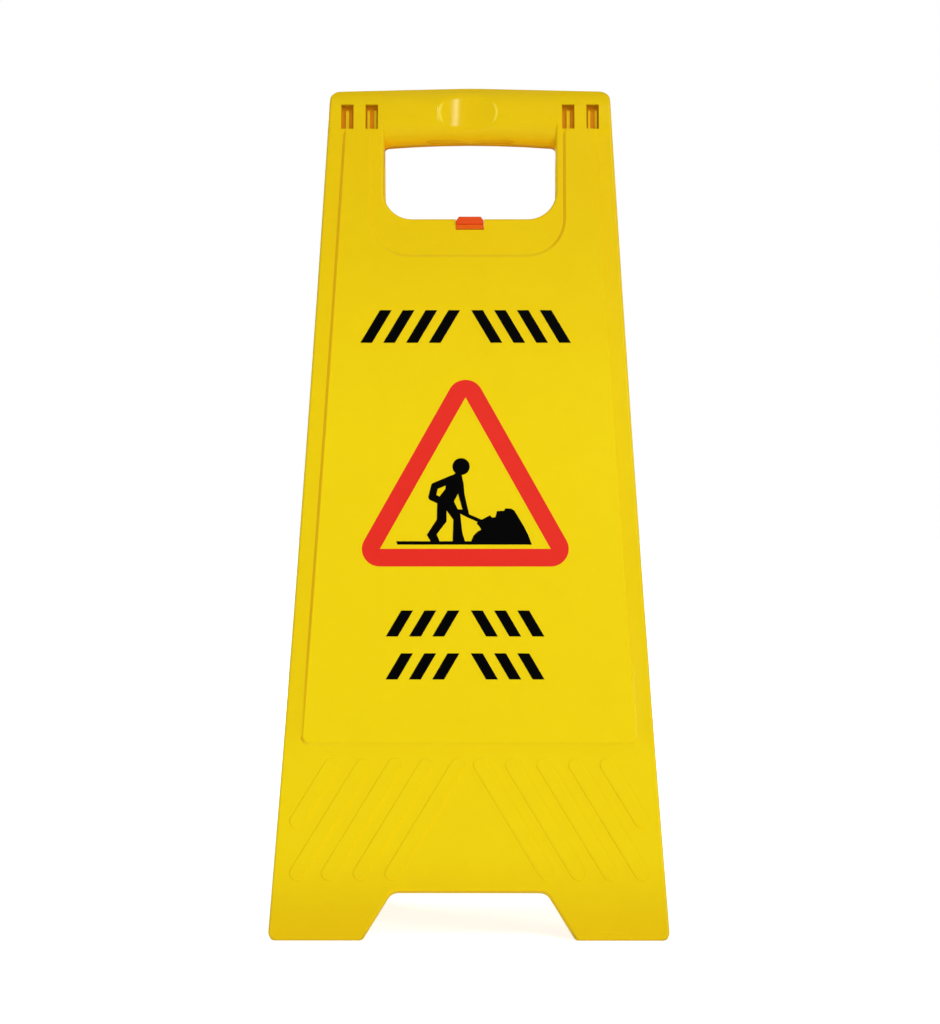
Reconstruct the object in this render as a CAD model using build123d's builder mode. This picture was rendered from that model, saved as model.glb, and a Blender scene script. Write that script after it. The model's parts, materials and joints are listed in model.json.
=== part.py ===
# Folding A-frame floor sign: two hinged leaves that stand open, hinge pins, a lock clip and printed films.
from build123d import *
import math
import os

# Stance of the open sign, in millimetres and degrees
lean = 12.5                   # each leaf leans this far from upright
leaf_height = 666.1           # along a leaf, from the floor to the middle of its top edge
hinge_drop = 18.8             # hinge axis below the middle of the top edge
closing_gap = 0.3             # each leaf's rim stands this far from the parting plane
stop_gap = 0.3                # between the leaves' top edges, where they butt to stop the opening

# Leaf moulding
foot_width = 300.0
top_width = 218.4             # across the top corners
side_bow = 1.6                # the sides curve in by this at mid height
top_rise = 3.9                # the top edge slopes up by this to a blunt peak in the middle
peak_radius = 300.0
face_depth = 13.0             # parting plane to the face at the margins
wall = 2.6
edge_radius = 2.0             # rounding of the face's edges
top_corner_radius = 8.5
foot_corner_radius = 6.5
foot_inner_radius = 3.0
sole_height = 6.0             # solid foot above the floor line
arch_height = 34.0            # arch between the feet
arch_foot_width = 161.2       # between the feet at the floor
arch_top_width = 116.0
arch_radius = 9.0

# Hand opening and the handle above it
opening_width = 133.9
opening_height = 64.3         # sill to the middle of the handle's lower edge
opening_corner = 22.0
handle_height = 44.5
handle_bow = 2.7              # the handle's lower edge arches up by this
grip_round = 19.5             # height of the handle's rounded lower half
grip_wall = 4.0
crown_radius = 26.0           # the handle's upper half curves back with this radius
scoop_width = 45.5            # thumb scoop across the front of the handle
scoop_depth = 2.8
scoop_shift = -2.2            # the scoop sits off the middle of the handle
scoop_rim_radius = 12.0
finger_width = 33.0           # each of the two oval finger hollows under the handle
finger_spacing = 36.0
finger_rise = 0.7
finger_slope = 8.0            # the hollows deepen towards the front
finger_lip = 0.8              # plain lip left behind the hollows
gusset = 3.0                  # rounded corner between the handle and each post

# Raised panel, and the plain band that it leaves round the hand opening
panel_rise = 1.5
panel_margin = 11.3
panel_bottom = 143.2
panel_corner = 8.0
panel_slope_run = 3.0         # the panel's edge slopes: its width in from the edge, and its fall
panel_slope_fall = 2.0
shoulder_drop = 33.1          # the margins ease up to the panel's level this far below the top
ease_length = 10.0
band_side = 6.5
band_below = 28.4
band_shift = -1.8             # the band sits off the middle of the leaf
band_corner = 28.0

# Raised stripes on the base
stripe_rise = 0.9
stripe_edge_radius = 0.6
stripe_width = 10.6
stripe_slant = 31.0           # from upright
stripe_pitch = 23.8
stripe_count = 5              # on each half
stripe_first = 8.5            # top end of the inmost stripe from the middle
stripe_below_panel = 8.8
stripe_foot_rise = 8.0        # lower ends above the arch
outer_stripe_fall = 42.5      # the outmost stripes are shorter, to clear the sides

# Stiffening ribs inside the leaf
rib_width = 2.0
rib_depth = 6.0
cross_rib_count = 4
upright_rib_spacing = 96.0

# Hinge windows, knuckles and pins
window_width = 9.6
window_height = 19.9
window_drop = 16.2            # top of the windows below the middle of the top edge
window_inset = 13.5           # middle of an outer window from the leaf's top corner
window_pitch = 19.0
knuckle_radius = 4.5
knuckle_width = 2.5
knuckle_root = 13.0           # knuckle ribs run this far below their windows
knuckle_sill = 1.0            # step below a window where its ribs leave the wall
knuckle_reach = 9.0           # front edge of the ribs out from the parting plane
knuckle_crest = 0.8           # top of the ribs above the hinge axis
knuckle_round = 3.0
pocket_gap = 1.0              # knuckle rings to the wall that closes the pocket behind a window
pocket_wall = 1.5
cheek_width = 2.0             # each cheek of a fork
knuckle_clearance = 0.4
pin_radius = 1.5
pin_clearance = 0.1
pin_chamfer = 0.3

# Lock clip in the sill
clip_width = 21.5
clip_top_width = 17.0
clip_side_clearance = 0.15
clip_seat_gap = 0.3
clip_above_sill = 1.1
clip_height = 9.7
clip_chamfer_height = 3.2
clip_ledge = 3.6              # ledge above the clip's lower edge
clip_thumb_proud = 2.2        # thumb pad in front of the face
clip_foot_proud = 0.8
clip_pad_depth = 7.2
clip_pivot_depth = 3.0        # pivot in front of the parting plane
clip_boss_radius = 2.8
trunnion_radius = 1.6
trunnion_length = 2.4
clip_cheek = 4.0              # cheeks beside the notch that carry the trunnions
clip_cheek_height = 11.0
tongue_width = 12.0
tongue_thickness = 2.8
tongue_drop = 0.8             # top of the tongue below the sill
hook_clearance = 1.6          # hook clear of the other leaf's face when the sign is shut
hook_thickness = 2.4
hook_drop = 2.9
clip_round = 0.6

# Printed films on the panel
film = 0.2
print_shift = -3.1            # the print sits off the middle of the leaf
triangle_width = 130.0        # inner edge of the border
triangle_height = 119.0
border_width = 13.7
triangle_rise = 151.8         # inner base above the panel's lower edge
figure_rise = 3.3             # ground line above the inner base
bar_width = 9.0
bar_gap = 8.6
bar_slant = 30.0              # from upright
upper_bar_height = 26.0
lower_bar_height = 20.0
upper_bar_count = 4           # on each half of the row
lower_bar_count = 3
upper_bars_rise = 314.0       # rows above the panel's lower edge
middle_bars_rise = 84.0
lower_bars_rise = 51.0

# Worker with a shovel and a heap, drawn from the middle of the ground line
head_radius = 6.6
head_place = (-3.3, 61.0)
ground = ((-52.6, 2.6), (-51.7, 0.0), (50.7, 0.0), (49.4, 2.6))
torso = ((-8.2, 55.5), (-6.2, 56.8), (-2.9, 55.7), (-2.9, 53.8), (-5.6, 39.7), (-8.7, 33.7), (-14.3, 26.6),
         (-21.5, 33.0), (-20.7, 36.3), (-15.3, 43.4), (-14.9, 47.5))
straight_arm = ((-2.9, 54.6), (-1.4, 47.9), (-0.7, 39.7), (0.9, 32.2), (3.1, 22.9), (1.5, 21.2), (-1.8, 26.0),
                (-3.6, 32.2), (-5.6, 39.7), (-8.0, 47.0))
hand = ((-6.5, 27.5), (-2.2, 27.4), (3.1, 22.9), (1.5, 21.2), (-4.2, 24.2))
rear_leg = ((-21.5, 33.0), (-21.8, 19.5), (-29.3, 7.6), (-25.7, 1.3), (-19.0, 1.3), (-21.8, 8.0),
            (-14.3, 18.0), (-14.3, 26.6), (-12.0, 33.0))
front_leg = ((-14.3, 26.6), (-9.2, 19.5), (-9.7, 1.3), (0.2, 1.3), (-2.2, 9.1), (-3.1, 16.6), (-3.9, 24.4),
             (-6.0, 28.1), (-8.7, 33.7), (-12.0, 33.0))
heap = ((3.8, 1.3), (6.4, 7.2), (9.4, 10.2), (12.2, 11.7), (10.6, 14.3), (8.5, 16.6), (10.0, 18.6),
        (13.1, 19.7), (18.8, 22.9), (20.4, 21.0), (22.9, 21.4), (24.1, 26.1), (29.5, 26.4), (30.5, 28.2),
        (34.9, 28.1), (37.5, 26.4), (44.8, 13.9), (47.7, 8.0), (50.7, 0.0), (30.0, 1.3))
arm_width = 5.6
bent_arm = ((-8.0, 52.2), (-23.4, 45.6), (-25.5, 37.2), (-19.5, 34.4))
shaft_width = 2.8
shaft = ((1.2, 22.9), (12.6, 17.8))

# Worked-out places, on a leaf with X across, Y up from the floor and Z out of the parting plane
tilt = math.radians(lean)
floor_line = -face_depth * math.tan(tilt)
shoulder = leaf_height - top_rise
hinge_rise = leaf_height - hinge_drop
panel_depth = face_depth + panel_rise
grip_bottom = leaf_height - handle_height
crown_low = grip_bottom + grip_round
grip_overlap = edge_radius + handle_bow + closing_gap
crown_high = crown_low + grip_overlap
sill = grip_bottom - opening_height
ease_high = leaf_height - shoulder_drop
ease_low = ease_high - ease_length
window_top = leaf_height - window_drop
window_bottom = window_top - window_height
outer_station = top_width / 2 - window_inset
inner_station = outer_station - window_pitch
notch_width = clip_width + 2 * clip_side_clearance
clip_top = sill + clip_above_sill
clip_bottom = clip_top - clip_height
notch_floor = clip_bottom - clip_seat_gap
clip_pivot = clip_bottom + clip_ledge
bow_radius = (opening_width ** 2 / 4 + handle_bow ** 2) / (2 * handle_bow)
scoop_radius = (scoop_width ** 2 / 4 + scoop_depth ** 2) / (2 * scoop_depth)
fork_width = knuckle_width + 2 * (knuckle_clearance + cheek_width)
hinge_height = hinge_rise * math.cos(tilt)
thumb_front = face_depth + clip_thumb_proud
pad_back = thumb_front - clip_pad_depth
tongue_top = sill - tongue_drop
hook_face = face_depth + hook_clearance
front_plane = Plane((0, -hinge_rise * math.sin(tilt), 0), (1, 0, 0), (0, -math.cos(tilt), math.sin(tilt)))
back_plane = Plane((0, hinge_rise * math.sin(tilt), 0), (-1, 0, 0), (0, math.cos(tilt), math.sin(tilt)))

front_side = Plane(front_plane.origin, front_plane.y_dir, front_plane.x_dir)
front_outward = Axis(front_plane.origin, front_plane.z_dir)


def half_width(height, inset=0.0):
    """Half the leaf's width at a height, less an inset: a straight taper with the sides' shallow bow."""
    share = (height - floor_line) / (shoulder - floor_line)
    taper = foot_width + (top_width - foot_width) * share
    return taper / 2 - 4 * side_bow * share * (1 - share) - inset


def round_corner(drawing, corner, radius):
    """Rounds the corner of a drawing that is nearest to a spot."""
    fillet(drawing.vertices().sort_by_distance(corner)[0], radius)


def leaf_sides(inset):
    """Face between the leaf's two bowed sides, drawn inset from them, with a straight top and foot."""
    middle = (floor_line + shoulder) / 2
    low, mid, high = (half_width(height, inset) for height in (floor_line, middle, shoulder))
    with BuildSketch() as face:
        with BuildLine():
            ThreePointArc((low, floor_line), (mid, middle), (high, shoulder))
            Line((high, shoulder), (-high, shoulder))
            ThreePointArc((-high, shoulder), (-mid, middle), (-low, floor_line))
            Line((-low, floor_line), (low, floor_line))
        make_face()
    return face.sketch


def leaf_outline(inset):
    """Front outline of a leaf, drawn inset: bowed sides, peaked top, and two feet with the arch between."""
    top, arch_top = shoulder - inset, arch_height + inset
    middle = (floor_line + shoulder) / 2
    low, mid, high = (half_width(height, inset) for height in (floor_line, middle, top))
    foot, arch = arch_foot_width / 2 + inset, arch_top_width / 2 + inset
    with BuildSketch() as face:
        with BuildLine():
            ThreePointArc((low, floor_line), (mid, middle), (high, top))
            Polyline((high, top), (0, leaf_height - inset), (-high, top))
            ThreePointArc((-high, top), (-mid, middle), (-low, floor_line))
            Polyline((-low, floor_line), (-foot, floor_line), (-arch, arch_top),
                     (arch, arch_top), (foot, floor_line), (low, floor_line))
        make_face()
        round_corner(face, (0, leaf_height - inset), peak_radius)
        for side in (-1, 1):
            round_corner(face, (side * high, top), top_corner_radius - inset)
            round_corner(face, (side * low, floor_line), foot_corner_radius)
            round_corner(face, (side * foot, floor_line), foot_inner_radius)
            round_corner(face, (side * arch, arch_top), arch_radius + inset)
    return face.sketch


def hand_opening(extra):
    """Hand opening up to the handle's crown, grown by an extra wall on every side."""
    with BuildSketch() as face:
        with Locations((0, (sill + crown_low) / 2)):
            Rectangle(opening_width, crown_low - sill)
        fillet(face.vertices().group_by(Axis.Y)[0], opening_corner)
        if extra:
            offset(amount=extra)
    return face.sketch


def side_profile(inset):
    """Side view of a leaf: flat margins that ease up to the panel's level, and a top that curves back."""
    reach = leaf_height + wall
    low, high = face_depth - inset, panel_depth - inset
    radius = crown_radius - inset
    fall = radius - math.sqrt(radius ** 2 - (reach - crown_high) ** 2)
    ease_middle = (ease_low + ease_high) / 2
    with BuildSketch() as face:
        with BuildLine():
            Polyline((reach, high - fall), (reach, -wall), (floor_line - wall, -wall),
                     (floor_line - wall, low), (ease_low, low))
            Bezier((ease_low, low), (ease_middle, low), (ease_middle, high), (ease_high, high))
            Line((ease_high, high), (crown_high, high))
            TangentArc((crown_high, high), (reach, high - fall), tangent=(1, 0))
        make_face()
    return face.sketch


def grip_section(inset):
    """Side view of the handle's lower half: a quarter ellipse under a straight front."""
    low, front = grip_bottom + inset, panel_depth - inset
    with BuildSketch() as face:
        with BuildLine():
            EllipticalCenterArc((crown_low, 0), grip_round - inset, front, 90, arc_size=90)
            Polyline((low, 0), (low, -wall), (crown_high, -wall), (crown_high, front), (crown_low, front))
        make_face()
    return face.sketch


def bowed_grip(inset, length):
    """Handle's lower half, swept round the long arc of its lower edge and cut to a length."""
    with BuildPart() as body:
        with BuildSketch(Plane.YZ):
            add(grip_section(inset))
        revolve(axis=Axis((0, grip_bottom - bow_radius, 0), (0, 0, 1)))
        with BuildSketch(Plane.XY.offset(closing_gap if inset == 0 else -wall)):
            with Locations((0, crown_low)):
                Rectangle(length, 4 * grip_round)
        extrude(amount=2 * panel_depth, mode=Mode.INTERSECT)
    return body.part


def thumb_scoop(extra):
    """Upright cylinder that hollows the front of the handle, grown by an extra wall."""
    with BuildPart() as tool:
        with BuildSketch(Plane.XZ.offset(-grip_bottom)):
            with Locations((scoop_shift, panel_depth - scoop_depth + scoop_radius)):
                Circle(scoop_radius + extra)
        extrude(amount=-2 * handle_height)
    return tool.part


def window_row(extra):
    """The four hinge windows, grown by an extra margin on every side."""
    with BuildSketch() as drawing:
        with Locations((0, (window_top + window_bottom) / 2)):
            for station in (outer_station, inner_station):
                with GridLocations(2 * station, 0, 2, 1):
                    Rectangle(window_width + 2 * extra, window_height + 2 * extra)
    return drawing.sketch


def knuckle_plate(start, width, bore):
    """One hinge plate: a ring round the hinge axis, on a rib that runs down behind its window to the wall."""
    back, wall_line = 2 * closing_gap, wall / 2
    root, ledge = window_bottom - knuckle_root, window_bottom - knuckle_sill
    crest = hinge_rise + knuckle_crest
    with BuildPart() as plate:
        with BuildSketch(Plane.YZ.offset(start)) as rib:
            with BuildLine():
                Polyline((root, back), (root, face_depth - wall_line), (ledge, panel_depth - wall_line),
                         (ledge, knuckle_reach), (crest, knuckle_reach), (crest, back), close=True)
            make_face()
            round_corner(rib, (crest, knuckle_reach), knuckle_round)
            with Locations((hinge_rise, 0)):
                Circle(knuckle_radius)
                Circle(bore, mode=Mode.SUBTRACT)
        extrude(amount=width)
    return plate.part


def triangle_border():
    """Border of an upright triangle, with rounded outer corners, above the panel's lower edge."""
    base, half = triangle_rise, triangle_width / 2
    with BuildSketch() as drawing:
        Polygon((-half, base), (half, base), (0, base + triangle_height), align=None)
        offset(amount=border_width)
        Polygon((-half, base), (half, base), (0, base + triangle_height), align=None, mode=Mode.SUBTRACT)
    return drawing.sketch


def worker_figure():
    """Worker digging at a heap on a ground line, inside the triangle."""
    with BuildSketch() as drawing:
        with Locations((0, triangle_rise + figure_rise)):
            for shape in (ground, torso, straight_arm, hand, rear_leg, front_leg, heap):
                Polygon(*shape, align=None)
            with Locations(head_place):
                Circle(head_radius)
            for width, path in ((arm_width, bent_arm), (shaft_width, shaft)):
                for start, end in zip(path, path[1:]):
                    run, climb = end[0] - start[0], end[1] - start[1]
                    with Locations(((start[0] + end[0]) / 2, (start[1] + end[1]) / 2)):
                        SlotCenterToCenter(math.hypot(run, climb), width,
                                           rotation=math.degrees(math.atan2(climb, run)))
    return drawing.sketch


def bar_row(count, height, rise):
    """Row of slanted bars, mirrored about the middle, at a rise above the panel's lower edge."""
    run = height * math.tan(math.radians(bar_slant))
    with BuildSketch() as drawing:
        for side in (-1, 1):
            for step in range(count):
                inner = bar_gap / 2 + step * (bar_width + bar_gap)
                outer = inner + bar_width
                Polygon((side * inner, rise + height), (side * outer, rise + height),
                        (side * (outer + run), rise), (side * (inner + run), rise), align=None)
    return drawing.sketch


os.makedirs("parts", exist_ok=True)

# Hollow inside the leaf
with BuildPart() as hollow:
    with BuildSketch(Plane.XY.offset(-wall)):
        add(leaf_outline(wall))
        with Locations((0, sole_height)):
            Rectangle(foot_width, 4 * sole_height, align=(Align.CENTER, Align.MAX), mode=Mode.SUBTRACT)
        add(hand_opening(wall), mode=Mode.SUBTRACT)
    extrude(amount=2 * panel_depth)
    with BuildSketch(Plane.YZ):
        add(side_profile(wall))
    extrude(amount=foot_width, both=True, mode=Mode.INTERSECT)
    add(thumb_scoop(wall), mode=Mode.SUBTRACT)

# Hollow inside the handle's lower half
with BuildPart() as grip_hollow:
    add(bowed_grip(grip_wall, opening_width))
    add(thumb_scoop(wall), mode=Mode.SUBTRACT)

# Handle's lower half with its two finger hollows
with BuildPart() as grip:
    add(bowed_grip(0, opening_width + 2 * edge_radius))
    with BuildSketch(Plane((0, grip_bottom, finger_lip)).rotated((-finger_slope, 0, 0))):
        with GridLocations(finger_spacing, 0, 2, 1):
            Ellipse(finger_width / 2, finger_rise)
    extrude(amount=panel_depth, mode=Mode.SUBTRACT)

# Raised panel, open at the top round the hand opening
with BuildPart() as panel:
    with BuildSketch(Plane.XY.offset(face_depth - panel_rise / 2)) as panel_face:
        add(leaf_sides(panel_margin))
        with Locations((0, panel_bottom)):
            Rectangle(foot_width, ease_high + wall - panel_bottom, align=(Align.CENTER, Align.MIN),
                      mode=Mode.INTERSECT)
        fillet(panel_face.vertices().group_by(Axis.Y)[0], panel_corner)
        with Locations((band_shift, sill - band_below)):
            RectangleRounded(opening_width + 2 * band_side, leaf_height, band_corner,
                             align=(Align.CENTER, Align.MIN), mode=Mode.SUBTRACT)
    extrude(amount=3 * panel_rise / 2)
    panel_front = panel.faces().sort_by(Axis.Z)[-1]
    brim = panel_front.edges().filter_by(lambda edge: edge.center().Y < ease_high)
    chamfer(brim, length=panel_slope_run, length2=panel_slope_fall, reference=panel_front)

# Raised stripes that slant down and outwards on each half of the base
stripe_top = panel_bottom - stripe_below_panel - stripe_width / 2
stripe_fall = stripe_top - arch_height - stripe_foot_rise - stripe_width / 2
stripe_angle = math.radians(stripe_slant)
with BuildPart() as stripes:
    with BuildSketch(Plane.XY.offset(face_depth - wall / 2)):
        for side in (-1, 1):
            for step in range(stripe_count):
                fall = stripe_fall if step < stripe_count - 1 else outer_stripe_fall
                across = stripe_first + step * stripe_pitch + fall * math.tan(stripe_angle) / 2
                with Locations((side * across, stripe_top - fall / 2)):
                    SlotCenterToCenter(fall / math.cos(stripe_angle), stripe_width,
                                       rotation=90 + side * stripe_slant)
    extrude(amount=stripe_rise + wall / 2)
    fillet(stripes.edges().group_by(Axis.Z)[-1], stripe_edge_radius)

# Leaf moulding, lying with its parting plane on XY
with BuildPart() as leaf:
    with BuildSketch(Plane.XY.offset(closing_gap)):
        add(leaf_outline(0))
    extrude(amount=panel_depth)
    with BuildSketch(Plane.YZ):
        add(side_profile(0))
    extrude(amount=foot_width, both=True, mode=Mode.INTERSECT)
    rim = leaf.edges().filter_by(Axis.Z, reverse=True).filter_by(lambda edge: edge.center().Z > wall)
    seams = rim.filter_by(Axis.X).filter_by(lambda edge: sill < edge.center().Y < leaf_height)
    fillet([edge for edge in rim if edge not in seams], edge_radius)
    with BuildSketch(Plane.XY):
        add(hand_opening(0))
    extrude(amount=2 * panel_depth, mode=Mode.SUBTRACT)
    lip = leaf.edges().filter_by(Axis.Z, reverse=True).filter_by(
        lambda edge: edge.center().Z > wall and sill - wall < edge.center().Y < crown_low + wall
        and abs(edge.center().X) < opening_width / 2 + wall)
    fillet(lip, edge_radius)
    add(grip.part)
    add(hollow.part, mode=Mode.SUBTRACT)
    add(grip_hollow.part, mode=Mode.SUBTRACT)
    add(thumb_scoop(0), mode=Mode.SUBTRACT)
    scoop_rim = leaf.edges(Select.LAST).filter_by(
        lambda edge: abs(edge.center().X - scoop_shift) < scoop_width)
    fillet(scoop_rim, scoop_rim_radius)
    with BuildSketch(Plane.XY.offset(closing_gap)):
        for side in (-1, 1):
            with Locations((side * (opening_width - gusset) / 2, grip_bottom - handle_bow)):
                Rectangle(gusset, 2 * gusset)
            with Locations((side * (opening_width / 2 - gusset), grip_bottom - handle_bow - gusset)):
                Circle(gusset, mode=Mode.SUBTRACT)
    extrude(amount=2 * finger_lip)
    add(panel.part)
    add(stripes.part)
    with BuildSketch(Plane.XY):
        with Locations((0, notch_floor)):
            Rectangle(notch_width, 2 * clip_height, align=(Align.CENTER, Align.MIN))
    extrude(amount=2 * panel_depth, mode=Mode.SUBTRACT)
    with BuildSketch(Plane.YZ):
        with BuildLine():
            back = stop_gap / 2 / math.cos(tilt)
            Polyline((hinge_rise, back), (hinge_rise + leaf_height, back + leaf_height * math.tan(tilt)),
                     (hinge_rise + leaf_height, -wall), (hinge_rise, -wall), close=True)
        make_face()
    extrude(amount=foot_width, both=True, mode=Mode.SUBTRACT)
    with BuildSketch(Plane.XY.offset(2 * closing_gap)):
        with Locations((0, sill - wall / 2)):
            with GridLocations(notch_width + clip_cheek, 0, 2, 1):
                Rectangle(clip_cheek, clip_cheek_height, align=(Align.CENTER, Align.MAX))
    extrude(amount=face_depth - wall / 2 - 2 * closing_gap)
    with BuildSketch(Plane.YZ):
        with Locations((clip_pivot, clip_pivot_depth)):
            Circle(trunnion_radius + pin_clearance)
    extrude(amount=notch_width / 2 + trunnion_length, both=True, mode=Mode.SUBTRACT)
    with BuildSketch(Plane.XY.offset(face_depth - wall - rib_depth)):
        for step in range(cross_rib_count):
            rise = arch_height + (step + 1) * (sill - arch_height) / (cross_rib_count + 1)
            with Locations((0, rise)):
                Rectangle(2 * half_width(rise, wall / 2), rib_width)
        with Locations((0, (arch_height + sill) / 2)):
            with GridLocations(upright_rib_spacing, 0, 2, 1):
                Rectangle(rib_width, sill - arch_height - wall)
    extrude(amount=rib_depth + wall / 2)
    split(bisect_by=Plane((0, 0, 0), (1, 0, 0), (0, math.cos(tilt), math.sin(tilt))), keep=Keep.TOP)

# Hinge knuckles of a leaf: single plates that turn on the other leaf's pins, and forks that hold pins
with BuildPart() as knuckles:
    for station in (-outer_station, inner_station):
        add(knuckle_plate(station - knuckle_width / 2, knuckle_width, pin_radius + pin_clearance))
    for station in (-inner_station, outer_station):
        for start in (station - fork_width / 2, station + fork_width / 2 - cheek_width):
            add(knuckle_plate(start, cheek_width, pin_radius))

# Front leaf, with a window in front of each knuckle and a wall that closes the pocket behind it
with BuildPart() as open_leaf:
    add(leaf.part)
    with BuildSketch(Plane.XY):
        add(window_row(0))
    extrude(amount=2 * panel_depth, mode=Mode.SUBTRACT)
    add(knuckles.part)
    with BuildSketch(Plane.XY.offset(knuckle_radius + pocket_gap)):
        add(window_row(wall))
    extrude(amount=pocket_wall)
with BuildPart() as front_leaf:
    with Locations(front_plane):
        add(open_leaf.part)
front_leaf.part.label = "front_leaf"
export_step(front_leaf.part, "parts/front_leaf.step")

# Back leaf, closed over its knuckles
with BuildPart() as closed_leaf:
    add(leaf.part)
    add(knuckles.part)
with BuildPart() as back_leaf:
    with Locations(back_plane):
        add(closed_leaf.part)
back_leaf.part.label = "back_leaf"
export_step(back_leaf.part, "parts/back_leaf.step")

# Hinge pins, one at each window, held in the fork of one leaf
pin_places = {"hinge_pin_left_outer": -outer_station, "hinge_pin_left_inner": -inner_station,
              "hinge_pin_right_inner": inner_station, "hinge_pin_right_outer": outer_station}
for name, station in pin_places.items():
    with BuildPart() as hinge_pin:
        with BuildSketch(Plane.YZ.offset(station - fork_width / 2)):
            with Locations((0, hinge_height)):
                Circle(pin_radius)
        extrude(amount=fork_width)
        chamfer(hinge_pin.edges().filter_by(GeomType.CIRCLE), pin_chamfer)
    hinge_pin.part.label = name
    export_step(hinge_pin.part, f"parts/{name}.step")

# Lock clip that rocks in the front leaf's sill and hooks over the other leaf when the sign is shut
with BuildPart() as lock_clip:
    with BuildSketch(front_side):
        with BuildLine():
            foot_front = face_depth + clip_foot_proud
            Polyline((clip_bottom, pad_back), (clip_bottom, foot_front), (clip_pivot, foot_front),
                     (clip_pivot, thumb_front), (clip_top, thumb_front), (clip_top, pad_back), close=True)
        make_face()
    extrude(amount=clip_width / 2, both=True)
    with BuildSketch(front_plane):
        with BuildLine():
            low, high, cut = clip_width / 2, clip_top_width / 2, clip_top - clip_chamfer_height
            Polyline((-low, clip_bottom), (low, clip_bottom), (low, cut), (high, clip_top),
                     (-high, clip_top), (-low, cut), close=True)
        make_face()
    extrude(amount=2 * panel_depth, mode=Mode.INTERSECT)
    fillet(lock_clip.edges().group_by(front_outward)[-1], clip_round)
    with BuildSketch(front_side):
        with Locations((clip_pivot - trunnion_radius, clip_pivot_depth)):
            Rectangle(tongue_top - clip_pivot + trunnion_radius, pad_back - clip_pivot_depth + clip_round,
                      align=(Align.MIN, Align.MIN))
        with Locations((clip_pivot, clip_pivot_depth)):
            Circle(clip_boss_radius)
    extrude(amount=clip_width / 2, both=True)
    with BuildSketch(front_side):
        with BuildLine():
            under, tip = tongue_top - tongue_thickness, hook_face + hook_thickness
            Polyline((tongue_top, clip_pivot_depth), (tongue_top, -tip), (under - hook_drop, -tip),
                     (under - hook_drop, -hook_face), (under, -hook_face), (under, clip_pivot_depth),
                     close=True)
        make_face()
    extrude(amount=tongue_width / 2, both=True)
    fillet(lock_clip.edges().group_by(front_outward)[0], clip_round)
    with BuildSketch(front_side):
        with Locations((clip_pivot, clip_pivot_depth)):
            Circle(trunnion_radius)
    extrude(amount=clip_width / 2 + trunnion_length, both=True)
lock_clip.part.label = "lock_clip"
export_step(lock_clip.part, "parts/lock_clip.step")

# Films printed on the panel of each leaf
prints = {"triangle_border": triangle_border(), "worker_figure": worker_figure(),
          "upper_bars": bar_row(upper_bar_count, upper_bar_height, upper_bars_rise),
          "middle_bars": bar_row(lower_bar_count, lower_bar_height, middle_bars_rise),
          "lower_bars": bar_row(lower_bar_count, lower_bar_height, lower_bars_rise)}
for side, plane in (("front", front_plane), ("back", back_plane)):
    for name, drawing in prints.items():
        with BuildPart() as printed:
            with BuildSketch(plane.offset(panel_depth)):
                with Locations((print_shift, panel_bottom)):
                    add(drawing)
            extrude(amount=film)
        printed.part.label = f"{side}_{name}"
        export_step(printed.part, f"parts/{side}_{name}.step")
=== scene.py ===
"""Looks of a folding A-frame floor sign: moulded yellow leaves, an orange lock clip and printed films."""
import json
import math
from collections import namedtuple

import bmesh
import bpy
import numpy as np
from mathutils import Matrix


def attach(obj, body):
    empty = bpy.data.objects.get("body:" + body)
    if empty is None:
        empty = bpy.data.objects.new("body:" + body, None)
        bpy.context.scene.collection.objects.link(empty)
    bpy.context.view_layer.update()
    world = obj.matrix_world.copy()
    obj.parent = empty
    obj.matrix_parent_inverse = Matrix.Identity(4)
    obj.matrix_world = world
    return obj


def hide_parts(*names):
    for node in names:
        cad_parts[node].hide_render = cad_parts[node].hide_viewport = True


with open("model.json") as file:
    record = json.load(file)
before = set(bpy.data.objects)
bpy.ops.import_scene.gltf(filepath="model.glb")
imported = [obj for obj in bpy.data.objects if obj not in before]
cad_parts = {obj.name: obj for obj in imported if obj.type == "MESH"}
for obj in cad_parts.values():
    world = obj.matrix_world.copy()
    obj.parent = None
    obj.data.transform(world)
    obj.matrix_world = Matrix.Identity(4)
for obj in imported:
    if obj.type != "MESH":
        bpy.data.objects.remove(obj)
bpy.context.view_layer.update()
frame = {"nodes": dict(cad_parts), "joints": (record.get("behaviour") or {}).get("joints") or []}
joint_places = {joint["name"]: joint["pos_m"] for joint in frame["joints"]}

# Stance of the leaves and the ledge under the clip's thumb pad, in metres
LEAN = math.radians(12.5)
FOOT_LINE = joint_places["fold"][2] * math.tan(LEAN)
LEDGE_OVER_AXIS = 0.0025
LEDGE_EDGE = 0.0001
CLIP_LEDGE = joint_places["clip"][2] + LEDGE_OVER_AXIS

# Fades up a leaf from its foot, in metres, each from none to full
FEET_HEIGHT = (0.0, 0.07)
OFF_FLOOR = (0.003, 0.006)
BASE_HEIGHT = (0.16, 0.13)
OVER_BASE = (0.136, 0.140)
WITHIN_BASE = (0.140, 0.136)
UPPER_HEIGHT = (0.62, 0.36)
HANDLE_START = (0.600, 0.612)
HANDLE_END = (0.657, 0.653)

# Fades out of a leaf, from the plane of the hinge towards its face, in metres
LIP_SHADE_DEPTH = (0.0026, 0.0010)
POCKET_SHADE_DEPTH = (0.0092, 0.0072)
INSIDE_DEPTH = (0.0100, 0.0010)
UNDERSIDE_SHADE_DEPTH = (0.0140, 0.003)
GRASPED_DEPTH = (0.0085, 0.0100)
FLATS_DEPTH = (0.0122, 0.0129)
RELIEF_DEPTH = (0.0129, 0.0131)
PANEL_DEPTH = (0.0134, 0.0143)

# Fades across a leaf, from its middle to its sides, in metres
WITHIN_OPENING = (0.0705, 0.0675)
BESIDE_OPENING = (0.0675, 0.0705)
WITHIN_FLANKS = (0.1065, 0.1045)

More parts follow.
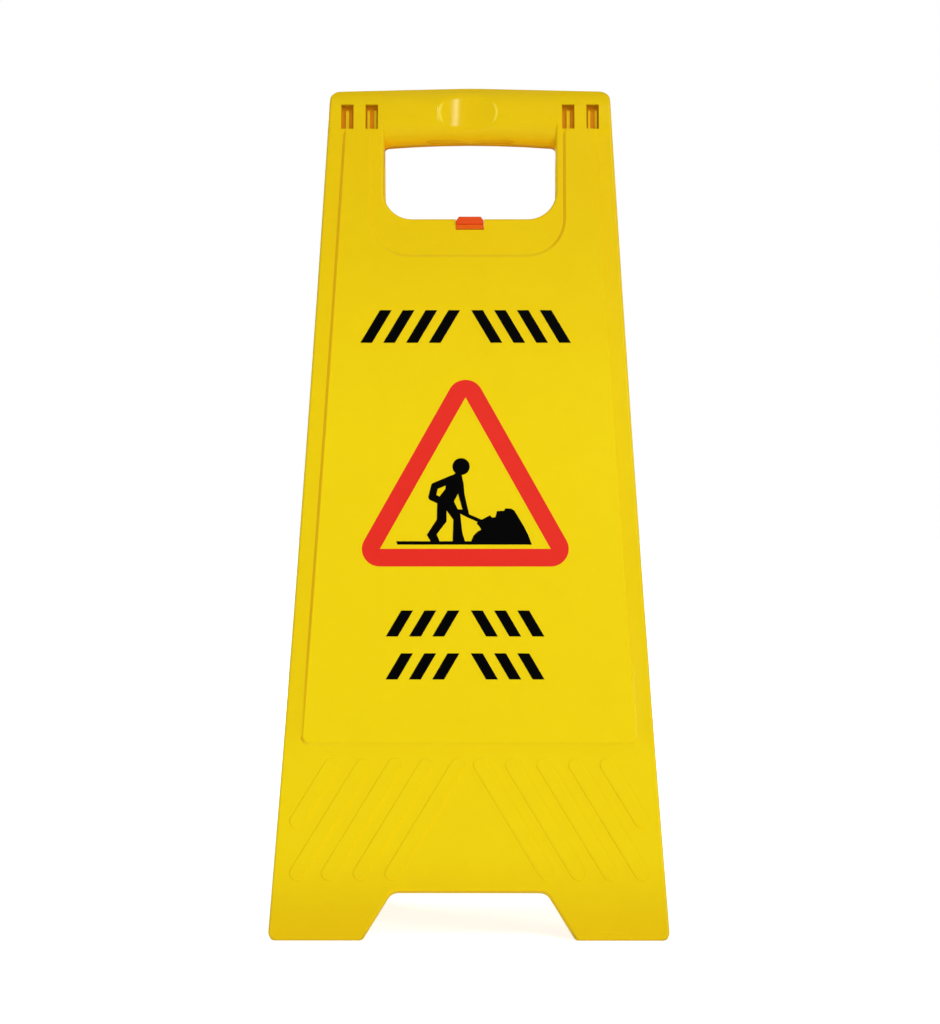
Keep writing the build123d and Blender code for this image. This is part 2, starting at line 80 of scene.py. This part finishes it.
# Fades by the way a surface faces, as parts of its direction
FACING_DOWN = (-0.15, -0.5)
FACING_LEFT = (0.25, 0.5)

# Oval line round the thumb scoop for its painted rim highlights, in metres, and fades in shares of its half
# sizes
SCOOP_LEFT = 0.0015
SCOOP_HEIGHT = 0.6436
SCOOP_HALF_WIDTH = 0.0223
SCOOP_HALF_HEIGHT = 0.0157
LINE_INSIDE = (0.945, 0.98)
LINE_OUTSIDE = (1.055, 1.02)
LINE_ENDS = (0.85, 0.95)

# Plain values that the materials share
PLASTIC_IOR = 1.49
BUMP_STRENGTH = 0.3
WHOLE_RANGE = (0.0, 1.0)
WHITE = (1.0, 1.0, 1.0, 1.0)
BLACK = (0.0, 0.0, 0.0, 1.0)
PAPER = (0.85, 0.85, 0.85, 1.0)


def linear(red, green, blue):
    """Linear colour of an 8-bit sRGB colour, with full alpha."""
    share = np.array((red, green, blue)) / 255.0
    low, high = share / 12.92, ((share + 0.055) / 1.055) ** 2.4
    return (*np.where(share <= 0.04045, low, high), 1.0)


# Colours of the leaves: their golden and lemon plastic, and the tones that lie over it: painted shade in
# orange, brown and gold, pale painted highlights, pale scuffs, a painted glow and the tint of the
# highlights
GOLD_DARK = linear(221, 184, 4)
GOLD_LIGHT = linear(230, 195, 6)
LEMON_DARK = linear(233, 202, 6)
LEMON_LIGHT = linear(239, 211, 8)
UNDERSIDE_SHADE_ORANGE = linear(246, 160, 8)
POCKET_SHADE_ORANGE = linear(214, 130, 5)
LIP_SHADE_BROWN = linear(190, 120, 8)
RIM_HIGHLIGHT_PALE = linear(251, 232, 90)
LEFT_SLOPE_SHADE = linear(226, 172, 4)
SCUFF_PALE = linear(247, 222, 60)
INNER_GLOW = (0.13, 0.075, 0.0, 1.0)
HIGHLIGHT_TINT = (0.85, 1.0, 0.9, 1.0)

# Colours of the clip, the pins and the films
PAD_DARK = linear(214, 67, 10)
PAD_LIGHT = linear(226, 79, 14)
CLIP_FOOT = linear(221, 91, 2)
PIN_DARK = linear(214, 160, 12)
PIN_LIGHT = linear(230, 180, 16)
RED_DARK = linear(222, 37, 25)
RED_LIGHT = linear(229, 45, 31)
BLACK_DARK = linear(0, 0, 0)
BLACK_LIGHT = linear(2, 2, 2)


def feed(tree, made, sockets):
    """Sets a node's inputs, each to a plain value or to the output that feeds it."""
    for name, value in sockets.items():
        if isinstance(value, bpy.types.NodeSocket):
            tree.links.new(value, made.inputs[name])
        else:
            made.inputs[name].default_value = value


def node(tree, kind, sockets=None, **settings):
    """A shader node with its settings and its inputs."""
    made = tree.nodes.new("ShaderNode" + kind)
    for name, value in settings.items():
        setattr(made, name, value)
    feed(tree, made, sockets or {})
    return made


def ramp(tree, value, fade, most=1.0, least=0.0, curve="LINEAR"):
    """A share that goes from least to most as a value runs through the two ends of a fade."""
    sockets = {"Value": value, "From Min": fade[0], "From Max": fade[1], "To Min": least, "To Max": most}
    return node(tree, "MapRange", sockets, interpolation_type=curve).outputs[0]


def smooth(tree, value, fade, most=1.0, least=0.0):
    """A ramp with rounded ends."""
    return ramp(tree, value, fade, most, least, "SMOOTHSTEP")


def reckon(tree, operation, *values):
    """The result of a Math node on one to three values."""
    return node(tree, "Math", dict(enumerate(values)), operation=operation).outputs[0]


def times(tree, first, *others):
    """The product of all the shares."""
    product = first
    for share in others:
        product = reckon(tree, "MULTIPLY", product, share)
    return product


def tint(tree, under, over, share):
    """A colour with another one laid over it by a share."""
    return node(tree, "Mix", {0: share, 6: under, 7: over}, data_type="RGBA").outputs[2]


def noise(tree, place, scale, detail, roughness=0.5, distortion=0.0):
    """Noise from 0 to 1 over a place."""
    sockets = {"Vector": place, "Scale": scale, "Detail": detail, "Roughness": roughness,
               "Distortion": distortion}
    return node(tree, "TexNoise", sockets).outputs[0]


def new_group(name, inputs, outputs):
    """An empty shader node group with named float or vector sockets, and its two end nodes."""
    tree = bpy.data.node_groups.new(name, "ShaderNodeTree")
    for label, kind, value in inputs:
        socket = tree.interface.new_socket(label, in_out="INPUT", socket_type="NodeSocket" + kind)
        if value is not None:
            socket.default_value = value
    for label, kind in outputs:
        tree.interface.new_socket(label, in_out="OUTPUT", socket_type="NodeSocket" + kind)
    return tree, tree.nodes.new("NodeGroupInput").outputs, tree.nodes.new("NodeGroupOutput")


def moulded_grain_group():
    """Moulded plastic: broad flow mottling, a pebbled skin, and a height that joins both."""
    tree, start, end = new_group(
        "moulded_grain",
        [("Vector", "Vector", None), ("Pebble Scale", "Float", 420.0), ("Flow Scale", "Float", 16.0)],
        [("Mottle", "Float"), ("Height", "Float")])
    flow_share = 0.62
    blotch_share = 0.45
    blotch_height = 0.5
    place = start["Vector"]
    flow = noise(tree, place, start["Flow Scale"], detail=5.0, roughness=0.62, distortion=0.6)
    pebble = noise(tree, place, start["Pebble Scale"], detail=3.0, roughness=0.55)
    blotch = noise(tree, place, scale=90.0, detail=4.0, roughness=0.6)
    feed(tree, end, {
        "Mottle": reckon(tree, "MULTIPLY_ADD", blotch, blotch_share, times(tree, flow, flow_share)),
        "Height": reckon(tree, "MULTIPLY_ADD", blotch, blotch_height, pebble)})
    return tree


def scuff_group():
    """Handling marks: thin stretched streaks in two directions, thinned out by a patchy mask."""
    tree, start, end = new_group(
        "handling_scuffs", [("Vector", "Vector", None), ("Amount", "Float", 0.5)], [("Scuff", "Float")])
    thin = (0.66, 0.74)
    patchy = (0.48, 0.68)
    streaks = []
    for turn, stretch in ((0.5, (30.0, 900.0, 300.0)), (-0.9, (900.0, 36.0, 300.0))):
        sockets = {"Vector": start["Vector"], "Rotation": (0.0, turn, 0.0), "Scale": stretch}
        streak = noise(tree, node(tree, "Mapping", sockets).outputs[0], scale=1.0, detail=2.0)
        streaks.append(ramp(tree, streak, thin))
    patches = ramp(tree, noise(tree, start["Vector"], scale=14.0, detail=3.0), patchy)
    scuff = times(tree, reckon(tree, "MAXIMUM", *streaks), patches, start["Amount"])
    feed(tree, end, {"Scuff": scuff})
    return tree


GRAIN = moulded_grain_group()
SCUFFS = scuff_group()

LeafSpot = namedtuple("LeafSpot", "place span depth height leftwards upwards")


def upright(tree, leaning, side):
    """A place or a direction on a leaning leaf, turned as if the leaf stood upright."""
    sockets = {"Vector": leaning, "Angle": -side * LEAN}
    return node(tree, "VectorRotate", sockets, rotation_type="X_AXIS").outputs[0]


def leaf_spot(tree, side):
    """A spot on a leaf that is turned upright: its place, its distance from the middle, its depth out of
    the hinge's plane, its height from the foot, and how far it faces left and up."""
    leaning = node(tree, "TexCoord").outputs
    from_foot = node(tree, "VectorMath", {0: leaning["Object"], 1: (0.0, side * FOOT_LINE, 0.0)},
                     operation="SUBTRACT").outputs[0]
    place = upright(tree, from_foot, side)
    axes = node(tree, "SeparateXYZ", {0: place}).outputs
    facing = node(tree, "SeparateXYZ", {0: upright(tree, leaning["Normal"], side)}).outputs
    return LeafSpot(
        place=place,
        span=reckon(tree, "ABSOLUTE", axes["X"]),
        depth=times(tree, axes["Y"], float(side)),
        height=axes["Z"],
        leftwards=times(tree, facing["X"], float(side)),
        upwards=facing["Z"])


def scoop_rim_highlights(tree, spot, side):
    """Share of the painted highlights on the scoop's rims: the left and right ends of an oval line round
    the thumb scoop.
    """
    from_middle = node(tree, "VectorMath", {0: spot.place, 1: (side * SCOOP_LEFT, 0.0, SCOOP_HEIGHT)},
                       operation="SUBTRACT").outputs[0]
    oval = node(tree, "VectorMath", {0: from_middle, 1: (1 / SCOOP_HALF_WIDTH, 0.0, 1 / SCOOP_HALF_HEIGHT)},
                operation="MULTIPLY").outputs[0]
    reach = node(tree, "VectorMath", {0: oval}, operation="LENGTH").outputs["Value"]
    across = reckon(tree, "ABSOLUTE", node(tree, "SeparateXYZ", {0: oval}).outputs["X"])
    return times(tree, ramp(tree, reach, LINE_INSIDE), ramp(tree, reach, LINE_OUTSIDE),
                 ramp(tree, across, LINE_ENDS, most=0.5))


def leaf_colour(tree, spot, side, mottle, scuff):
    """Golden plastic at the handle and the feet, more lemon in the middle and on the raised panel. Over it
    lie painted orange shade under the handle and in the hinge pockets, painted brown shade on the lip at
    the handle's back edge, painted highlights on the rims at the scoop, painted golden shade on the slopes
    that face left, and pale scuffs."""
    gold = tint(tree, GOLD_DARK, GOLD_LIGHT, mottle)
    lemon = tint(tree, LEMON_DARK, LEMON_LIGHT, mottle)
    panel = smooth(tree, spot.depth, PANEL_DEPTH, least=0.62)
    base = smooth(tree, spot.height, BASE_HEIGHT, most=0.35)
    panel_or_base = node(tree, "Math", {0: panel, 1: base}, operation="ADD", use_clamp=True).outputs[0]
    lemon_share = times(tree, smooth(tree, spot.height, FEET_HEIGHT),
                        smooth(tree, spot.height, UPPER_HEIGHT), panel_or_base)
    handle = times(tree, smooth(tree, spot.height, HANDLE_START), smooth(tree, spot.height, HANDLE_END))
    grip = times(tree, handle, ramp(tree, spot.span, WITHIN_OPENING))
    posts = times(tree, handle, ramp(tree, spot.span, BESIDE_OPENING), ramp(tree, spot.span, WITHIN_FLANKS))
    # painted orange shade under the handle's grip
    underside_shade = times(tree, grip, smooth(tree, spot.depth, UNDERSIDE_SHADE_DEPTH, most=0.45))
    # painted shade deep in the hinge pockets, orange like light through the plastic
    pockets = times(tree, posts, smooth(tree, spot.depth, POCKET_SHADE_DEPTH))
    # painted brown shade on the lip at the handle's back edge
    lip = times(tree, grip, smooth(tree, spot.depth, LIP_SHADE_DEPTH, most=0.75))
    # painted golden shade on the relief's slopes that face left
    left_slope_shade = times(tree, ramp(tree, spot.leftwards, FACING_LEFT, most=0.7),
                        ramp(tree, spot.depth, RELIEF_DEPTH), ramp(tree, spot.height, OVER_BASE))
    colour = tint(tree, gold, lemon, lemon_share)
    for tone, share in ((UNDERSIDE_SHADE_ORANGE, underside_shade), (POCKET_SHADE_ORANGE, pockets), (LIP_SHADE_BROWN, lip),
                        (RIM_HIGHLIGHT_PALE, scoop_rim_highlights(tree, spot, side)), (LEFT_SLOPE_SHADE, left_slope_shade),
                        (SCUFF_PALE, scuff)):
        colour = tint(tree, colour, tone, share)
    return colour


def leaf_roughness(tree, spot, mottle):
    """Satin plastic that is polished on the outer faces and on the front of the handle."""
    satin = ramp(tree, mottle, WHOLE_RANGE, most=0.62, least=0.5)
    polished = ramp(tree, mottle, WHOLE_RANGE, most=0.13, least=0.08)
    grasped = times(tree, smooth(tree, spot.height, HANDLE_START), ramp(tree, spot.span, WITHIN_OPENING),
                    ramp(tree, spot.depth, GRASPED_DEPTH))
    gloss = reckon(tree, "MAXIMUM", grasped, ramp(tree, spot.depth, FLATS_DEPTH))
    return node(tree, "Mix", {0: gloss, 2: satin, 3: polished}).outputs[0]


def leaf_glow(tree, spot):
    """Painted glow: a faint light as if through the plastic, which grows from the face inwards, and painted
    light from the floor under the base's edges that face down, above the soles."""
    # painted light from the white floor on the base's edges that face down
    floor_light_under_base = times(tree, ramp(tree, spot.upwards, FACING_DOWN), ramp(tree, spot.height, WITHIN_BASE),
                       ramp(tree, spot.height, OFF_FLOOR))
    # painted glow that grows inwards from the face
    share = reckon(tree, "MAXIMUM", ramp(tree, spot.depth, INSIDE_DEPTH), floor_light_under_base)
    return tint(tree, BLACK, INNER_GLOW, share)


def new_plastic(name, gloss):
    """A plastic material with its share of mirroring, its node tree and its shader."""
    made = bpy.data.materials.new(name)
    made.use_nodes = True
    shader = made.node_tree.nodes["Principled BSDF"]
    feed(made.node_tree, shader, {"IOR": PLASTIC_IOR, "Specular IOR Level": gloss})
    return made, made.node_tree, shader


def fine_bump(tree, height, depth):
    """Normal of a skin with a fine bump, depth metres deep."""
    sockets = {"Height": height, "Strength": BUMP_STRENGTH, "Distance": depth}
    return node(tree, "Bump", sockets).outputs[0]


def leaf_plastic(name, side):
    """Yellow moulded leaf with mottled flow, a pebbled bump and light scuffs. side is -1 for the front leaf
    and 1 for the back one, and the pattern runs in the leaf's own plane."""
    made, tree, shader = new_plastic(name, gloss=0.08)
    spot = leaf_spot(tree, side)
    grain = node(tree, "Group", {"Vector": spot.place}, node_tree=GRAIN).outputs
    scuffs = node(tree, "Group", {"Vector": spot.place, "Amount": 0.12}, node_tree=SCUFFS).outputs
    feed(tree, shader, {
        "Specular Tint": HIGHLIGHT_TINT,
        "Emission Strength": 1.0,
        "Base Color": leaf_colour(tree, spot, side, grain["Mottle"], scuffs["Scuff"]),
        "Roughness": leaf_roughness(tree, spot, grain["Mottle"]),
        "Emission Color": leaf_glow(tree, spot),
        "Normal": fine_bump(tree, grain["Height"], depth=0.0001)})
    return made


def plain_plastic(name, dark, light, gloss, roughness, pebble_scale, bump_depth):
    """One-colour moulded plastic or film with a mottled tone, uneven gloss and a fine bump. roughness is
    its lowest and its highest value."""
    made, tree, shader = new_plastic(name, gloss)
    sockets = {"Vector": node(tree, "TexCoord").outputs["Object"], "Pebble Scale": pebble_scale,
               "Flow Scale": 45.0}
    grain = node(tree, "Group", sockets, node_tree=GRAIN).outputs
    lowest, highest = roughness
    feed(tree, shader, {
        "Base Color": tint(tree, dark, light, grain["Mottle"]),
        "Roughness": ramp(tree, grain["Mottle"], WHOLE_RANGE, most=highest, least=lowest),
        "Normal": fine_bump(tree, grain["Height"], bump_depth)})
    return made


def clip_plastic(name):
    """Orange moulded clip, with a lighter orange on its foot below the thumb pad's ledge."""
    made = plain_plastic(name, PAD_DARK, PAD_LIGHT, gloss=0.06, roughness=(0.28, 0.42), pebble_scale=500.0,
                         bump_depth=0.0001)
    tree = made.node_tree
    shader = tree.nodes["Principled BSDF"]
    pad_colour = shader.inputs["Base Color"].links[0].from_socket
    place = node(tree, "TexCoord").outputs["Object"]
    height = node(tree, "SeparateXYZ", {0: place}).outputs["Z"]
    foot = ramp(tree, height, (CLIP_LEDGE + LEDGE_EDGE, CLIP_LEDGE - LEDGE_EDGE))
    feed(tree, shader, {"Base Color": tint(tree, pad_colour, CLIP_FOOT, foot)})
    return made


def smoothed_copy(name, body, material):
    """A node's own mesh with its corners joined, rounded faces shaded smooth and flats kept flat."""
    corner_gap = 2e-6
    smooth_under = math.radians(32)
    mesh = frame["nodes"][name].data.copy()
    mesh.name = name + "_skin"
    work = bmesh.new()
    work.from_mesh(mesh)
    bmesh.ops.remove_doubles(work, verts=work.verts, dist=corner_gap)
    for face in work.faces:
        face.smooth = True
    for edge in work.edges:
        edge.smooth = len(edge.link_faces) == 2 and edge.calc_face_angle() < smooth_under
    work.to_mesh(mesh)
    work.free()
    mesh.materials.clear()
    mesh.materials.append(material)
    piece = bpy.data.objects.new(name + "_skin", mesh)
    bpy.context.scene.collection.objects.link(piece)
    even = piece.modifiers.new("even_normals", "WEIGHTED_NORMAL")
    even.keep_sharp = True
    even.weight = 100
    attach(piece, body)
    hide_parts(name)


# Leaves and clip
smoothed_copy("front_leaf", "front", leaf_plastic("front_yellow", -1))
smoothed_copy("back_leaf", "back", leaf_plastic("back_yellow", 1))
smoothed_copy("lock_clip", "lock_clip", clip_plastic("clip_orange"))

# Pins and films, which keep the meshes of their nodes
pin_yellow = plain_plastic("pin_yellow", PIN_DARK, PIN_LIGHT, gloss=0.2, roughness=(0.35, 0.5),
                           pebble_scale=500.0, bump_depth=0.0001)
film_red = plain_plastic("film_red", RED_DARK, RED_LIGHT, gloss=0.06, roughness=(0.3, 0.4),
                         pebble_scale=700.0, bump_depth=0.00004)
film_black = plain_plastic("film_black", BLACK_DARK, BLACK_LIGHT, gloss=0.01, roughness=(0.3, 0.42),
                           pebble_scale=700.0, bump_depth=0.00004)
finishes = {"hinge_pin": pin_yellow, "triangle_border": film_red, "worker_figure": film_black,
            "bars": film_black}
for name, piece in frame["nodes"].items():
    for kind, finish in finishes.items():
        if kind in name:
            piece.data.materials.clear()
            piece.data.materials.append(finish)


def seen_or_mirrored(tree):
    """1 for what the camera sees, also by way of a reflection, and 0 for light that falls on the sign."""
    path = node(tree, "LightPath").outputs
    return reckon(tree, "MAXIMUM", path["Is Camera Ray"], path["Is Glossy Ray"])


def floor_paper():
    """White paper that keeps a soft shadow and is seen a little brighter far from the sign."""
    made = bpy.data.materials.new("white_floor")
    made.use_nodes = True
    tree = made.node_tree
    tree.nodes.remove(tree.nodes["Principled BSDF"])
    near_to_far = (0.5, 3.0)
    distance = node(tree, "VectorMath", {0: node(tree, "TexCoord").outputs["Object"]}, operation="LENGTH")
    level = ramp(tree, distance.outputs["Value"], near_to_far, most=0.95, least=0.72)
    matte = node(tree, "BsdfDiffuse", {"Color": PAPER})
    glow = node(tree, "Emission", {"Color": WHITE, "Strength": times(tree, seen_or_mirrored(tree), level)})
    both = node(tree, "AddShader", {0: matte.outputs[0], 1: glow.outputs[0]})
    feed(tree, tree.nodes["Material Output"], {"Surface": both.outputs[0]})
    return made


def floor_sheet(reach, height, lines):
    """A flat square grid: x and y run from -reach to reach in even steps, and z is the floor's height."""
    steps = np.linspace(-reach, reach, lines)
    across, along = np.meshgrid(steps, steps, indexing="ij")
    spots = np.stack((across, along, np.full_like(across, height)), axis=-1).reshape(-1, 3)
    corner = (np.arange(lines - 1)[:, None] * lines + np.arange(lines - 1)).ravel()
    faces = np.stack((corner, corner + lines, corner + lines + 1, corner + 1), axis=-1)
    mesh = bpy.data.meshes.new("floor")
    mesh.from_pydata(spots.tolist(), [], faces.tolist())
    made = bpy.data.objects.new("floor", mesh)
    bpy.context.scene.collection.objects.link(made)
    return made


floor = floor_sheet(reach=40.0, height=-0.0002, lines=9)
floor.data.materials.append(floor_paper())

# White surroundings that light the sign less than they are seen
world = bpy.data.worlds.new("studio")
bpy.context.scene.world = world
world.use_nodes = True
sky = world.node_tree
sky_level = ramp(sky, seen_or_mirrored(sky), WHOLE_RANGE, least=0.315)
feed(sky, sky.nodes["Background"], {"Color": WHITE, "Strength": sky_level})


def soft_lamp(name, place, aim, size, power):
    """A rectangular area lamp, size wide and high, turned to face a spot."""
    lamp = bpy.data.lights.new(name, "AREA")
    lamp.shape = "RECTANGLE"
    lamp.size, lamp.size_y = size
    lamp.energy = power
    made = bpy.data.objects.new(name, lamp)
    towards = np.array(aim) - np.array(place)
    made.location = place
    made.rotation_euler = (math.acos(-towards[2] / np.linalg.norm(towards)), 0.0,
                           math.atan2(towards[1], towards[0]) - math.pi / 2)
    bpy.context.scene.collection.objects.link(made)


# Lamps at the front right, low at the front left, high in front for the scoop's highlight, and behind
soft_lamp("key", place=(2.385, -3.13, 1.1), aim=(0.0, -0.08, 0.36), size=(1.2, 1.2), power=46.0)
soft_lamp("fill", place=(-0.9, -2.6, 0.12), aim=(0.0, -0.08, 0.4), size=(1.4, 0.4), power=12.0)
soft_lamp("strip", place=(0.79, -4.24, 3.24), aim=(0.0, -0.02, 0.64), size=(0.32, 1.95), power=78.0)
soft_lamp("behind", place=(-1.4, 3.6, 1.5), aim=(0.0, 0.08, 0.36), size=(1.6, 1.6), power=55.0)

# Camera at the photograph's place: level, and a little to the right of the sign's middle
camera = bpy.data.objects.new("camera", bpy.data.cameras.new("camera"))
camera.location = (0.018, -3.0, 0.3192)
camera.rotation_euler = (math.pi / 2, 0.0, 0.00602)
camera.data.lens = 134.43
camera.data.sensor_width = 36.0
camera.data.clip_end = 200.0
bpy.context.scene.collection.objects.link(camera)
bpy.context.scene.camera = camera
bpy.context.scene.view_settings.view_transform = "Standard"
